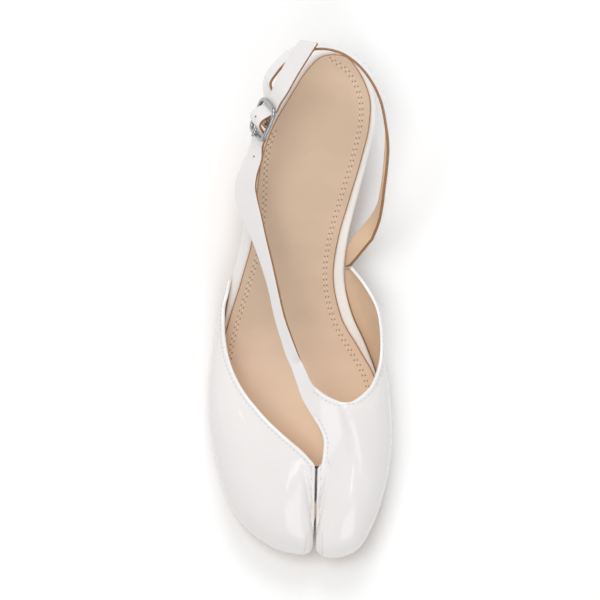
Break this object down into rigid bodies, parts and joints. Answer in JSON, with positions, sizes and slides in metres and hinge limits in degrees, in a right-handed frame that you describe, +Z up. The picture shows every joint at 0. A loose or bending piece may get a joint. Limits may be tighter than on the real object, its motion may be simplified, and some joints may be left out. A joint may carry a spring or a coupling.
{
  "type": "tabi heel",
  "caption": "Split-toe slingback shoe with a block heel: a hollow leather upper with a separate big-toe lobe, a long strap to a buckle at the outer ankle, and a strap round the heel.",
  "frame": {"origin": "on the floor, under the middle of the shoe's box", "axes": "+Y from the toes to the heel, +X to the inner side of the foot, +Z up"},
  "size_m": [0.0864, 0.2438, 0.0988],
  "materials": {
    "white_leather": "smooth white leather with a soft gloss",
    "sock_leather": "plain beige lining leather",
    "sole_leather": "natural tan sole leather",
    "lift_rubber": "matt dark rubber",
    "buckle_metal": "polished nickel"
  },
  "bodies": {
    "root": {"upper": "white_leather", "heel_strap": "white_leather", "insole_board": "white_leather", "sock_lining": "sock_leather", "outsole": "sole_leather", "heel_block": "white_leather", "heel_lift": "lift_rubber", "buckle_frame": "buckle_metal", "buckle_prong": "buckle_metal"}
  },
  "joints": []
}
